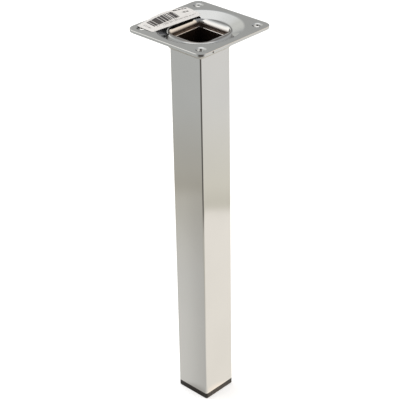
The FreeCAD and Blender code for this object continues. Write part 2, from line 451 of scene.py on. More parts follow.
class Nodes:
    """Short way to add shader nodes to one tree and join them."""

    def __init__(self, tree: bpy.types.NodeTree) -> None:
        """Works on the given tree."""
        self.tree = tree

    def feed(self, target: Socket, value: object) -> None:
        """Joins a socket to an input, or sets the input to a plain value."""
        if isinstance(value, Socket):
            self.tree.links.new(value, target)
        else:
            target.default_value = value

    def add(self, kind: str, inputs: dict | None = None, **settings: object) -> bpy.types.Node:
        """Adds a node.

        Args:
            kind: Name of the node's type.
            inputs: Values, or sockets to join, by the name or number of the input.
            settings: The node's own options.

        Returns:
            The node.
        """
        node = self.tree.nodes.new(kind)
        for key, value in settings.items():
            setattr(node, key, value)
        for key, value in (inputs or {}).items():
            self.feed(node.inputs[key], value)
        return node

    def math(self, operation: str, *values: object, clamp: bool = False) -> Socket:
        """Result of a sum on numbers or sockets."""
        inputs = dict(enumerate(values))
        return self.add("ShaderNodeMath", inputs, operation=operation, use_clamp=clamp).outputs[0]

    def times(self, first: object, second: object) -> Socket:
        """Product of two values."""
        return self.math("MULTIPLY", first, second)

    def plus(self, first: object, second: object, clamp: bool = False) -> Socket:
        """Sum of two values, kept between 0 and 1 if clamp is set."""
        return self.math("ADD", first, second, clamp=clamp)

    def blend(self, first: Socket, second: Socket, share: float) -> Socket:
        """Mean of two values, in which the first counts by its share."""
        return self.plus(self.times(first, share), self.times(second, 1 - share))

    def remap(
        self, value: Socket, low: object, high: object, to_low: float = 0.0, to_high: float = 1.0
    ) -> Socket:
        """Smooth step of a value from one range to another.

        Args:
            value: The value.
            low: Value that becomes to_low.
            high: Value that becomes to_high.
            to_low: Result at the low value.
            to_high: Result at the high value.

        Returns:
            The result's socket.
        """
        inputs = {0: value, 1: low, 2: high, 3: to_low, 4: to_high}
        node = self.add("ShaderNodeMapRange", inputs, interpolation_type="SMOOTHSTEP")
        return node.outputs[0]

    def noise(self, vector: Socket, scale: object, detail: float, roughness: float = 0.5) -> Socket:
        """Cloudy value between 0 and 1 that varies in space."""
        inputs = {"Vector": vector, "Scale": scale, "Detail": detail, "Roughness": roughness}
        return self.add("ShaderNodeTexNoise", inputs).outputs[0]

    def mix(self, factor: object, first: object, second: object) -> Socket:
        """Mixture of two colours, each as a socket or as red, green and blue."""
        node = self.add("ShaderNodeMix", data_type="RGBA")
        for number, value in zip(MIX_INPUTS, (factor, first, second)):
            self.feed(node.inputs[number], opaque(value) if isinstance(value, tuple) else value)
        return node.outputs[MIX_RESULT]

    def ramp(self, value: Socket, stops: Stops) -> Socket:
        """Colour that runs through a few stops as the value goes from 0 to 1."""
        node = self.add("ShaderNodeValToRGB", {0: value})
        elements = node.color_ramp.elements
        while len(elements) < len(stops):
            elements.new(0.5)
        for element, (position, colour) in zip(elements, stops):
            element.position = position
            element.color = opaque(colour)
        return node.outputs[0]


def opaque(colour: Colour) -> tuple[float, float, float, float]:
    """Colour with full cover as its fourth number."""
    return (*colour, 1.0)


def darker(colour: Colour, share: float) -> Colour:
    """Colour of which only a share is left."""
    return tuple(share * part for part in colour)


def blank_tree(owner: bpy.types.Material | bpy.types.World) -> bpy.types.NodeTree:
    """Turns the nodes of a material or a room on, and empties them."""
    owner.use_nodes = True
    owner.node_tree.nodes.clear()
    return owner.node_tree


class Group(Nodes):
    """Shader node group that is being built."""

    def __init__(self, name: str, inputs: dict[str, float | None], outputs: Sequence[str]) -> None:
        """Starts the group.

        Args:
            name: Name of the group.
            inputs: Start value of each number, or None for a place.
            outputs: Names of the values that it gives.
        """
        super().__init__(bpy.data.node_groups.new(name, "ShaderNodeTree"))
        for label, value in inputs.items():
            kind = "NodeSocketVector" if value is None else "NodeSocketFloat"
            socket = self.tree.interface.new_socket(label, in_out="INPUT", socket_type=kind)
            if value is not None:
                socket.default_value = value
        for label in outputs:
            self.tree.interface.new_socket(label, in_out="OUTPUT", socket_type="NodeSocketFloat")
        self.source = self.add("NodeGroupInput")
        self.sink = self.add("NodeGroupOutput")

    def take(self, label: str) -> Socket:
        """One of the values that come into the group."""
        return self.source.outputs[label]

    def give(self, **results: Socket) -> bpy.types.NodeTree:
        """Sends the results out by their names, and hands over the finished group."""
        for label, result in results.items():
            self.feed(self.sink.inputs[label], result)
        return self.tree


class Effects:
    """Shader node groups that the finishes share."""

    haze_wave: float = 0.65
    relief_wave: float = 0.97
    unbroken_wear: float = 0.15
    dust_edge: float = 0.22

    def __init__(self) -> None:
        """Builds each group once."""
        self.ripple = self.plating_ripple()
        self.wear = self.edge_wear()
        self.film = self.dust_film()

    def plating_ripple(self) -> bpy.types.NodeTree:
        """Slow unevenness and fine grain of polished and plated steel."""
        inputs = {"Place": None, "Wave": 60.0, "Grain": 900.0}
        group = Group("plating_ripple", inputs, ("Haze", "Height"))
        wave = group.noise(group.take("Place"), group.take("Wave"), detail=2.0)
        grain = group.noise(group.take("Place"), group.take("Grain"), detail=3.0, roughness=0.6)
        haze = group.blend(wave, grain, self.haze_wave)
        return group.give(Haze=haze, Height=group.blend(wave, grain, self.relief_wave))

    def edge_wear(self) -> bpy.types.NodeTree:
        """Broken line of wear along edges, from the mesh's own wear value."""
        group = Group("edge_wear", {"Place": None, "Wear": 0.0, "Scale": 400.0}, ("Mask",))
        specks = group.noise(group.take("Place"), group.take("Scale"), detail=4.0, roughness=0.65)
        broken = group.remap(specks, 0.42, 0.62, to_low=self.unbroken_wear)
        return group.give(Mask=group.times(group.take("Wear"), broken))

    def dust_film(self) -> bpy.types.NodeTree:
        """Thin uneven film of dust and finger marks: more cover lowers the level at which it starts."""
        group = Group("dust_film", {"Place": None, "Scale": 120.0, "Cover": 0.5}, ("Mask",))
        clouds = group.noise(group.take("Place"), group.take("Scale"), detail=5.0, roughness=0.62)
        start = group.math("SUBTRACT", 0.72, group.times(group.take("Cover"), 0.3))
        return group.give(Mask=group.remap(clouds, start, group.plus(start, self.dust_edge)))


class Looks(Nodes):
    """Material that is being built: one Principled shader, and the values that a finish reads."""

    def __init__(self, name: str) -> None:
        """Starts the material, with the shader joined to its output."""
        self.material = bpy.data.materials.new(name)
        super().__init__(blank_tree(self.material))
        self.shader = self.add("ShaderNodeBsdfPrincipled")
        self.add("ShaderNodeOutputMaterial", {"Surface": self.shader.outputs[0]})
        self.place = self.add("ShaderNodeTexCoord").outputs["Object"]

    def mark(self, name: str) -> Socket:
        """One of the values that the mesh carries for each point: wear, or bare, which is unplated
        steel and painted shade.
        """
        return self.add("ShaderNodeAttribute", attribute_name=name).outputs["Fac"]

    def group(self, tree: bpy.types.NodeTree, inputs: dict) -> bpy.types.Node:
        """Puts a shared group in, with this material's values."""
        return self.add("ShaderNodeGroup", {"Place": self.place, **inputs}, node_tree=tree)

    def finish(
        self, tone: Socket, rough: Socket, relief: dict, fixed: dict[str, object]
    ) -> bpy.types.Material:
        """Joins everything to the shader.

        Args:
            tone: Colour of the surface.
            rough: Its roughness.
            relief: Strength, Distance and Height of its unevenness.
            fixed: Values of the shader that are the same everywhere.

        Returns:
            The finished material.
        """
        bump = self.add("ShaderNodeBump", relief)
        varied = {"Base Color": tone, "Roughness": rough, "Normal": bump.outputs[0]}
        for label, value in {**varied, **fixed}.items():
            self.feed(self.shader.inputs[label], value)
        return self.material


@dataclass(frozen=True)
class PlatingFinish:
    """Chrome plating on steel, from mirror bright to satin.

    Attributes:
        name: Name of the material.
        colour: Colour of the clean metal.
        worn: Colour along worn edges and in dull places.
        smooth: Roughness of the brightest places.
        dull: Roughness of the haziest places.
        wave: How many slow waves there are in a metre.
        grain: How many grains there are in a metre.
        relief: Height of the unevenness, in metres.
        dust: Share of the surface that carries a film of dust.
        steel: Colour of the unplated steel where plating did not reach, and of the painted shade at the
            lip's crest.
        dust_tone: Colour of the dust.
        hazed: Share of the colour that is left in the haziest places.
        stained: The same for unplated steel.
        bare_rough: What unplated steel and painted shade add to the roughness.
        worn_rough: What wear adds to it.
        dusty_rough: What dust adds to it.
    """

    name: str
    colour: Colour
    worn: Colour
    smooth: float
    dull: float
    wave: float
    grain: float
    relief: float
    dust: float
    steel: Colour = (0.17, 0.125, 0.1)
    dust_tone: Colour = (0.55, 0.54, 0.51)
    hazed: float = 0.965
    stained: float = 0.55
    bare_rough: float = 0.34
    worn_rough: float = 0.12
    dusty_rough: float = 0.25

    def material(self, effects: Effects) -> bpy.types.Material:
        """Builds the material.

        Args:
            effects: The shared node groups.

        Returns:
            The material.
        """
        looks = Looks(self.name)
        bare_and_shade = looks.mark("bare_and_shade")
        ripple = looks.group(effects.ripple, {"Wave": self.wave, "Grain": self.grain})
        wear = looks.group(effects.wear, {"Wear": looks.mark("wear")}).outputs["Mask"]
        film = looks.group(effects.film, {"Cover": self.dust}).outputs["Mask"]
        haze = looks.remap(ripple.outputs["Haze"], 0.35, 0.68)
        dusty = looks.times(film, self.dust / 2)
        tone = looks.mix(haze, self.colour, darker(self.colour, self.hazed))
        tone = looks.mix(wear, tone, self.worn)
        tone = looks.mix(dusty, tone, self.dust_tone)
        steel = looks.mix(haze, self.steel, darker(self.steel, self.stained))
        # Unplated steel, and the painted shade at the lip's crest, take the dark steel colour.
        tone = looks.mix(bare_and_shade, tone, steel)
        rough = looks.remap(haze, 0.0, 1.0, self.smooth, self.dull)
        added = ((bare_and_shade, self.bare_rough), (wear, self.worn_rough), (dusty, self.dusty_rough))
        for mask, more in added:
            rough = looks.plus(rough, looks.times(mask, more), clamp=mask is dusty)
        relief = {"Strength": 1.0, "Distance": self.relief, "Height": ripple.outputs["Height"]}
        return looks.finish(tone, rough, relief, {"Metallic": 1.0})


@dataclass(frozen=True)
class PlasticFinish:
    """Matt moulded plastic with a fine spark-eroded grain and scuffed edges.

    Attributes:
        name: Name of the material.
        colour: Colour of the clean plastic.
        scuff: Colour where it is scuffed.
        roughness: Roughness of the grain's middle.
        grain: How many grains there are in a metre.
        dust_tone: Colour of the dust.
        scuffing: Cover of the scuffs.
        dusting: Cover of the dust.
        relief: Height of the grain, in metres.
        shine: Strength of its mirror reflection.
    """

    name: str
    colour: Colour
    scuff: Colour
    roughness: float
    grain: float
    dust_tone: Colour = (0.24, 0.21, 0.18)
    scuffing: float = 0.6
    dusting: float = 0.05
    relief: float = 0.00004
    shine: float = 0.42

    def material(self, effects: Effects) -> bpy.types.Material:
        """Builds the material.

        Args:
            effects: The shared node groups.

        Returns:
            The material.
        """
        looks = Looks(self.name)
        wear = looks.group(effects.wear, {"Wear": looks.mark("wear"), "Scale": 700.0})
        film = looks.group(effects.film, {"Scale": 300.0, "Cover": 0.6})
        grain = looks.noise(looks.place, self.grain, detail=2.0)
        tone = looks.mix(looks.times(wear.outputs["Mask"], self.scuffing), self.colour, self.scuff)
        tone = looks.mix(looks.times(film.outputs["Mask"], self.dusting), tone, self.dust_tone)
        rough = looks.remap(grain, 0.3, 0.7, self.roughness - 0.06, self.roughness + 0.08)
        relief = {"Strength": 0.5, "Distance": self.relief, "Height": grain}
        return looks.finish(tone, rough, relief, {"Specular IOR Level": self.shine})


@dataclass(frozen=True)
class PrintField:
    """Field of generic print on the label, in millimetres along it and across it."""

    start: float
    stop: float
    low: float
    high: float
    strength: float = 1.0


CODE_FIELD = PrintField(5.8, 26.0, 1.9, 8.8)
PRINT_ROWS = (
    PrintField(27.0, 38.3, 0.8, 2.0, 1.0),
    PrintField(30.8, 36.0, 4.8, 6.3, 0.9),
    PrintField(11.0, 37.0, 10.2, 10.9, 0.5),
    PrintField(7.0, 24.0, 9.3, 9.9, 0.5),
    PrintField(2.2, 3.8, 3.0, 9.0, 0.45),
)


@dataclass(frozen=True)
class PaperFinish:
    """Coated label paper with generic bars and plain thin lines, and no lettering.

    The label's own map gives millimetres from its corner: along the label, then across it. The
    bare value is 1 on its underside, which is painted dark grey as shade under the label.

    Attributes:
        name: Name of the material.
        paper: Colour of the paper.
        ink: Colour of the print.
        underside_shade: Colour of the underside, painted dark grey as shade under the label.
        aged: Share of the paper's colour that is left between its fibres.
        cover: Cover of the print.
        soft: Half the width of a field's soft edge, in millimetres.
        bar: Width of the thinnest bar, in millimetres.
        dash: Length of the shortest dash, in millimetres.
        group: Length of the stretches in which the bars are denser or sparser, in millimetres.
    """

    name: str
    paper: Colour
    ink: Colour
    underside_shade: Colour = (0.1, 0.1, 0.1)
    aged: float = 0.97
    cover: float = 0.95
    soft: float = 0.03
    bar: float = 0.36
    dash: float = 0.62
    group: float = 1.7

    def band(self, looks: Looks, value: Socket, low: float, high: float) -> Socket:
        """Mask that is 1 between two values, with soft edges."""
        rise = looks.remap(value, low - self.soft, low + self.soft)
        fall = looks.remap(value, high - self.soft, high + self.soft, 1.0, 0.0)
        return looks.times(rise, fall)

    def chance(self, looks: Looks, along: Socket, pitch: float) -> Socket:
        """Random value for each step of the pitch."""
        cell = looks.math("FLOOR", looks.math("DIVIDE", along, pitch))
        noise = looks.add("ShaderNodeTexWhiteNoise", {"W": cell}, noise_dimensions="1D")
        return noise.outputs["Value"]

    def bars(self, looks: Looks, along: Socket, pitch: float, share: object) -> Socket:
        """Bars of uneven width: the chance of each step, cut at a share."""
        return looks.math("LESS_THAN", self.chance(looks, along, pitch), share)

    def field(self, looks: Looks, along: Socket, across: Socket, box: PrintField) -> Socket:
        """Mask that is 1 inside a printed field."""
        length = self.band(looks, along, box.start, box.stop)
        return looks.times(length, self.band(looks, across, box.low, box.high))

    def print_mask(self, looks: Looks) -> Socket:
        """Cover of the ink: the bars of the code, and the dashes of each row."""
        flat = looks.add("ShaderNodeUVMap", uv_map="print").outputs[0]
        split = looks.add("ShaderNodeSeparateXYZ", {0: flat})
        along, across = split.outputs[0], split.outputs[1]
        dense = looks.plus(looks.times(self.chance(looks, along, self.group), 0.55), 0.42)
        ink = self.field(looks, along, across, CODE_FIELD)
        ink = looks.times(ink, self.bars(looks, along, self.bar, dense))
        lying = self.bars(looks, along, self.dash, 0.6)
        upright = self.bars(looks, across, self.dash, 0.6)
        for box in PRINT_ROWS:
            dashes = upright if box.stop - box.start < box.high - box.low else lying
            mark = looks.times(self.field(looks, along, across, box), dashes)
            ink = looks.math("MAXIMUM", ink, looks.times(mark, box.strength))
        return looks.times(ink, self.cover)

    def material(self, effects: Effects) -> bpy.types.Material:
        """Builds the material.

        Args:
            effects: The shared node groups, of which paper needs none.

        Returns:
            The material.
        """
        looks = Looks(self.name)
        fibre = looks.noise(looks.place, 2600.0, detail=3.0)
        paper = looks.mix(looks.remap(fibre, 0.3, 0.7), self.paper, darker(self.paper, self.aged))
        tone = looks.mix(self.print_mask(looks), paper, self.ink)
        # Painted shade: the underside is painted dark grey.
        tone = looks.mix(looks.mark("bare_and_shade"), tone, self.underside_shade)
        fixed = {
            "Subsurface Weight": 0.15,
            "Subsurface Scale": 0.0001,
            "Subsurface Radius": (1.0, 1.0, 1.0),
            "Specular IOR Level": 0.12,
        }
        relief = {"Strength": 0.3, "Distance": 0.00003, "Height": fibre}
        return looks.finish(tone, looks.remap(fibre, 0.3, 0.7, 0.42, 0.55), relief, fixed)


BRIGHT_PLATE = PlatingFinish(
    "bright_plated_sheet",
    colour=(0.66, 0.665, 0.655),
    worn=(0.62, 0.62, 0.6),
    smooth=0.08,
    dull=0.11,
    wave=70.0,
    grain=1500.0,
    relief=0.000005,
    dust=0.15,
)
SATIN_TUBE = replace(
    BRIGHT_PLATE,
    name="satin_plated_tube",
    colour=(0.7, 0.695, 0.68),
    worn=(0.93, 0.88, 0.83),
    wave=26.0,
    dust=0.1,
)
DULL_WELD = PlatingFinish(
    "plated_weld_bead",
    colour=(0.55, 0.54, 0.51),
    worn=(0.4, 0.39, 0.36),
    smooth=0.26,
    dull=0.4,
    wave=300.0,
    grain=2400.0,
    relief=0.00003,
    dust=0.5,
)
MOULDED_FOOT = PlasticFinish(
    "moulded_black_plastic",
    colour=(0.015, 0.011, 0.008),
    scuff=(0.075, 0.066, 0.058),
    roughness=0.34,
    grain=3800.0,
)
LABEL_PAPER = PaperFinish("label_paper", paper=(0.9, 0.895, 0.88), ink=(0.05, 0.045, 0.045))


@dataclass
class MountingPlate:
    """Pressed screw plate: flat rim, round dish, raised lip and drawn square collar in one sheet."""

    height: float = 255.0
    side: float = 60.0
    corner_r: float = 5.5
    sheet: float = 1.75
    tube_side: float = 25.0
    dish_margin: float = 3.5
    dish_depth: float = 3.4
    valley_fill: float = 0.45
    shoulder_r: float = 3.6
    valley_land: float = 0.25
    collar_gap: float = 0.1
    tube_corner_r: float = 1.5
    collar_wall: float = 1.45
    collar_depth: float = 11.5
    lip_height: float = 1.05
    lip_side_run: float = 3.5
    lip_corner_run: float = 0.75
    lip_corner_foot: float = 1.65
    lip_land: float = 0.1
    lip_roll: float = 2.7
    throat_depth: float = 5.6
    throat_side_run: float = 0.75
    throat_corner_run: float = 0.25
    groove_depth: float = 0.9
    hole_edge: float = 6.5
    hole_d: float = 4.0
    coin_d: float = 6.4
    coin_depth: float = 0.45
    hole_margin: float = 0.3
    hole_around: int = 72
    edge_width: float = 0.9
    edge_roll: float = 0.35
    burr_roll: float = 0.22
    mark_d: float = 1.1
    mark_depth: float = 0.4
    mark_y: float = -20.3
    mark_drop: float = 0.95
    mark_reach: float = 1.15
    mark_fade: float = 0.45
    mark_spread: float = 0.022
    around: int = 416
    crowding: float = 0.17
    finish: PlatingFinish = BRIGHT_PLATE
    hole_centres: tuple[tuple[float, float], ...] = field(init=False)

    def __post_init__(self) -> None:
        """Works out where the four screw holes are."""
        out = self.side / 2 - self.hole_edge
        self.hole_centres = tuple((x, y) for x in (-out, out) for y in (-out, out))

    def angles(self) -> np.ndarray:
        """Directions round the axis, with extra ones at the rack mark in the edge."""
        even = turn_angles(self.around, self.crowding)
        spread = np.linspace(-1, 1, EXTRA_ANGLES) * self.mark_spread
        mark = math.atan2(self.mark_y, self.side / 2) + spread
        return np.unique(np.concatenate([even, mark]) % (2 * math.pi))

    def edge_path(self) -> Path:
        """Rolled-over edge of the blank, from the flat top to the flat underside."""
        half, reach = self.side / 2, square_reach(self.side / 2, self.corner_r)
        low = self.height - self.sheet
        return rounded_path(
            [
                Bend(half - self.edge_width, reach - self.edge_width, self.height),
                Bend(half, reach, self.height, self.edge_roll, steps=7, rows=12, wear=0.6),
                Bend(half, reach, low, self.burr_roll, steps=4, wear=0.3),
                Bend(half - self.edge_width, reach - self.edge_width, low),
            ],
            False,
        )

    def pit(self, points: np.ndarray) -> np.ndarray:
        """How deep each point lies in the rack's pit, from 0 to 1: a smooth step of the distance."""
        y = points[..., 1] - self.mark_y
        z = points[..., 2] - (self.height - self.mark_drop)
        away = np.hypot(y, z) / (self.mark_d / 2)
        share = np.clip((self.mark_reach - away) / self.mark_fade, 0, 1) * (points[..., 0] > 0)
        return share * share * (3 - 2 * share)

    def rack_mark(self, points: np.ndarray, rings: np.ndarray) -> np.ndarray:
        """Presses the small round pit of the plating rack into the +X edge."""
        return pushed(points, -self.mark_depth * self.pit(points))

    def wall_slope(self, depth: float, run: float) -> float:
        """Slope of a dish wall that runs from the valley up to the rounded shoulder.

        It is the angle of the line from a point to a circle that it touches: asin(r / distance)
        less the angle at which the circle's middle lies.

        Args:
            depth: How deep the valley lies under the rim.
            run: Distance outward from the valley to the shoulder's middle.

        Returns:
            The slope in radians.
        """
        spare = self.shoulder_r - depth
        return math.asin(self.shoulder_r / math.hypot(run, spare)) - math.atan2(spare, run)

    def form_path(self) -> Path:
        """From the flat underside down the collar, up its bore, over the lip and up the dish.

        The sheet is a little thicker in the valley, where the press has gathered it.
        """
        bore_half = self.tube_side / 2 + self.collar_gap
        bore_reach = square_reach(bore_half, self.tube_corner_r + self.collar_gap)
        outer_half, outer_reach = bore_half + self.collar_wall, bore_reach + self.collar_wall
        low = self.height - self.sheet
        bottom = self.height - self.dish_depth
        under = bottom - self.sheet
        crest = bottom + self.lip_height
        end = self.height - self.collar_depth
        foot_r = bore_reach + self.lip_corner_foot
        valley_r = foot_r + self.valley_land
        dish_r = self.side / 2 - self.dish_margin
        valley = bottom + self.valley_fill
        turn = math.tan(self.wall_slope(self.dish_depth, dish_r - valley_r) / 2)
        top_depth = self.dish_depth - self.valley_fill
        top_turn = math.tan(self.wall_slope(top_depth, dish_r - valley_r) / 2)
        mitre = self.sheet * turn
        under_r = dish_r - self.shoulder_r * turn + mitre
        shoulder = self.shoulder_r * top_turn
        crest_half, crest_reach = bore_half + self.lip_side_run, bore_reach + self.lip_corner_run
        throat_half = bore_half + self.throat_side_run
        throat_reach = bore_reach + self.throat_corner_run
        throat = self.height - self.throat_depth
        over = length_of(np.array([crest_half - throat_half, crest_reach - throat_reach, 0.0]))
        roll = Bend(
            throat_half, throat_reach, crest, self.lip_roll, over, steps=18, bare_and_shade=0.9, bare_and_shade_end=-1.9
        )
        land = self.lip_land
        groove_half, groove_reach = crest_half, outer_reach + 0.12
        return rounded_path(
            [
                circle_bend(under_r + 1.2, low),
                circle_bend(under_r, low, before=(self.shoulder_r - self.sheet) * turn, steps=6),
                circle_bend(valley_r + mitre, under, before=0.9, after=0.5, steps=6),
                Bend(foot_r - 0.6, outer_reach + 0.15, under, 0.2, 0.3, steps=4),
                Bend(groove_half, groove_reach, under + self.groove_depth, 0.3, steps=4),
                Bend(outer_half, outer_reach, under + self.groove_depth, 0.25, steps=4),
                Bend(outer_half, outer_reach, end, 0.35, steps=5, wear=0.3, fade_in=0.6),
                Bend(bore_half, bore_reach, end, 0.25, steps=4, bare_and_shade=0.9),
                Bend(bore_half, bore_reach, throat, 0.35, steps=4, bare_and_shade=0.95),
                roll,
                # Painted shade: the bare value on the crest's outer rounding paints a dark line round
                # the mouth.
                Bend(crest_half + land, crest_reach + land, crest, 0.07, 0.45, 6, rows=4, bare_and_shade=0.7),
                circle_bend(foot_r, valley, before=0.6, after=0.12, steps=5),
                circle_bend(valley_r, valley, before=0.12, after=0.8, steps=5, rows=4),
                circle_bend(dish_r - shoulder, self.height, before=shoulder, steps=10),
                circle_bend(dish_r + 0.4, self.height),
            ],
            False,
        )

    def hole_path(self) -> Path:
        """Wall of a screw hole, from the underside up to its shallow coined seat."""
        low = self.height - self.sheet
        drill, coin = self.hole_d / 2, self.coin_d / 2
        seat = self.height - self.coin_depth
        return rounded_path(
            [
                circle_bend(drill + self.hole_margin, low),
                circle_bend(drill, low, before=0.12, steps=3),
                circle_bend(drill, seat, before=0.12, steps=4),
                circle_bend(coin, self.height, before=0.25, steps=5, wear=0.2),
                circle_bend(coin + self.hole_margin, self.height),
            ],
            False,
        )

    def build(self) -> bpy.types.Object:
        """Joins edge, formed part, holes and the two flat fields into one closed piece."""
        shell = Shell()
        angles = self.angles()
        edge = shell.add_sweep(self.edge_path(), angles, deform=self.rack_mark, stain=self.pit)
        form = shell.add_sweep(self.form_path(), angles)
        round_angles = turn_angles(self.hole_around, 0.0)
        wall = self.hole_path()
        holes = [shell.add_sweep(wall, round_angles, centre=place) for place in self.hole_centres]
        centres = np.array(self.hole_centres)

        def field_mask(dish_r: float, hole_r: float) -> Callable[[np.ndarray], np.ndarray]:
            """Test for points that lie outside the dish and outside every hole."""

            def test(middles: np.ndarray) -> np.ndarray:
                """True for each point on the flat sheet."""
                apart = np.linalg.norm(middles[:, None] - centres[None], axis=-1).min(axis=1)
                return (np.linalg.norm(middles, axis=-1) > dish_r) & (apart > hole_r)

            return test

        places = np.concatenate(shell.points)
        top_r = float(places[form[-1], 0].max())
        low_r = float(places[form[0], 0].max())
        top_loops = [edge[0], form[-1]] + [hole[-1] for hole in holes]
        low_loops = [edge[-1], form[0]] + [hole[0] for hole in holes]
        shell.add_flat(top_loops, field_mask(top_r, self.coin_d / 2 + self.hole_margin), True)
        shell.add_flat(low_loops, field_mask(low_r, self.hole_d / 2 + self.hole_margin), False)
        return shell.build("pressed_plate")


@dataclass
class LegTube:
    """Square steel tube with a sawn upper end and the weld seam inside one wall."""

    side: float = 25.0
    wall: float = 1.2
    corner_r: float = 1.5
    inner_corner_r: float = 0.4
    low: float = 4.0
    high: float = 248.4
    edge_r: float = 0.14
    seam_y: float = 6.8
    seam_width: float = 1.8
    seam_height: float = 0.35
    seam_spread: float = 0.09
    around: int = 520
    crowding: float = 0.19
    finish: PlatingFinish = SATIN_TUBE

    def seam(self, points: np.ndarray, rings: np.ndarray) -> np.ndarray:
        """Raises the weld bead on the inside of the -X wall.

        The bead's height is a cosine hump over its width, and it fades out towards the outer wall.

        Args:
            points: Carried profile.
            rings: The profile's own points, which tell the inner wall from the outer.

        Returns:
            The points with the bead.
        """
        inner = self.side / 2 - self.wall
        inside = np.clip((self.side / 2 - rings[:, 0, None]) / (self.side / 2 - inner), 0, 1)
        hump = seam_hump(points, self.seam_y, self.seam_width / 2)
        return pushed(points, self.seam_height * hump * inside)

    def build(self) -> bpy.types.Object:
        """Carries the wall's closed profile round the axis."""
        half, inner = self.side / 2, self.side / 2 - self.wall
        reach = square_reach(half, self.corner_r)
        inner_reach = square_reach(inner, self.inner_corner_r)
        mouth = Bend(
            inner, inner_reach, self.high, 0.3, wear=1.0, bare_and_shade=1.0, bare_and_shade_end=-1.5, fade_in=0.4
        )
        path = rounded_path(
            [
                Bend(half, reach, self.high, self.edge_r, wear=1.0, fade_out=0.6),
                Bend(half, reach, self.low, self.edge_r, wear=0.5, fade_in=0.8),
                Bend(inner, inner_reach, self.low, self.edge_r, bare_and_shade=1.0),
                mouth,
            ],
            True,
        )
        shell = Shell()
        even = turn_angles(self.around, self.crowding)
        spread = np.linspace(-self.seam_spread, self.seam_spread, EXTRA_ANGLES)
        bead = math.pi - math.atan2(self.seam_y, inner) + spread
        angles = np.unique(np.concatenate([even, bead]) % (2 * math.pi))
        shell.add_sweep(path, angles, closed=True, deform=self.seam)
        return shell.build("square_tube")


@dataclass
class CollarWeld:
    """Rippled fillet weld between the collar's lower edge and the tube."""

    tube_side: float = 25.0
    tube_corner_r: float = 1.5
    outer_half: float = 13.93
    outer_corner_r: float = 2.93
    top: float = 243.5
    leg: float = 1.6
    toe: float = 0.12
    ripples: int = 92
    ripple_height: float = 0.09
    ripple_lean: float = 1.3
    slow_height: float = 0.05
    slow_waves: int = 5
    around: int = 1472
    crowding: float = 0.1
    finish: PlatingFinish = DULL_WELD

    def ripple(self, points: np.ndarray, rings: np.ndarray) -> np.ndarray:
        """Adds the overlapping scales of the bead to its outer face.

        The scales are a rounded saw-tooth in the direction round the axis, and they lean with the
        height. They are strongest in the middle of the bead and vanish at its edges.

        Args:
            points: Carried profile.
            rings: The profile's own points, which give the height on the bead.

        Returns:
            The points with the scales.
        """
        angle = np.arctan2(points[..., 1], points[..., 0])
        share = np.clip((self.top - rings[:, 2, None]) / self.leg, 0, 1)
        outside = np.clip((rings[:, 0, None] - self.tube_side / 2 - 0.05) / 0.3, 0, 1)
        phase = angle * self.ripples / (2 * math.pi) + self.ripple_lean * (share - 0.5) ** 2
        scale = np.abs(np.sin(math.pi * phase)) ** 0.7
        amount = self.ripple_height * (scale - 0.6) * np.sin(math.pi * share) * outside
        wave = np.sin(self.slow_waves * angle + 0.6)
        slow = self.slow_height * wave * np.sin(math.pi * share) * outside
        moved = points.copy()
        moved[..., :2] += unit(points[..., :2]) * (amount + slow)[..., None]
        return moved

    def build(self) -> bpy.types.Object:
        """Carries the bead's closed section round the tube."""
        inner = self.tube_side / 2
        inner_reach = square_reach(inner, self.tube_corner_r)
        outer_reach = square_reach(self.outer_half, self.outer_corner_r)
        toe_half, toe_reach = inner + self.toe, inner_reach + self.toe
        low = self.top - self.leg
        middle = Bend(
            (self.outer_half + toe_half) / 2 + 0.1,
            (outer_reach + toe_reach) / 2 + 0.1,
            (self.top + low) / 2 - 0.05,
            0.45,
            steps=5,
            rows=1,
        )
        path = rounded_path(
            [
                Bend(self.outer_half, outer_reach, self.top, 0.12, steps=3, rows=2),
                middle,
                Bend(toe_half, toe_reach, low, 0.04, steps=2),
                Bend(inner, inner_reach, low, 0.04, steps=2),
                Bend(inner, inner_reach, self.top, 0.08, steps=2),
            ],
            True,
        )
        angles = turn_angles(self.around, self.crowding)
        shell = Shell()
        shell.add_sweep(path, angles, closed=True, deform=self.ripple)
        return shell.build("weld_bead")


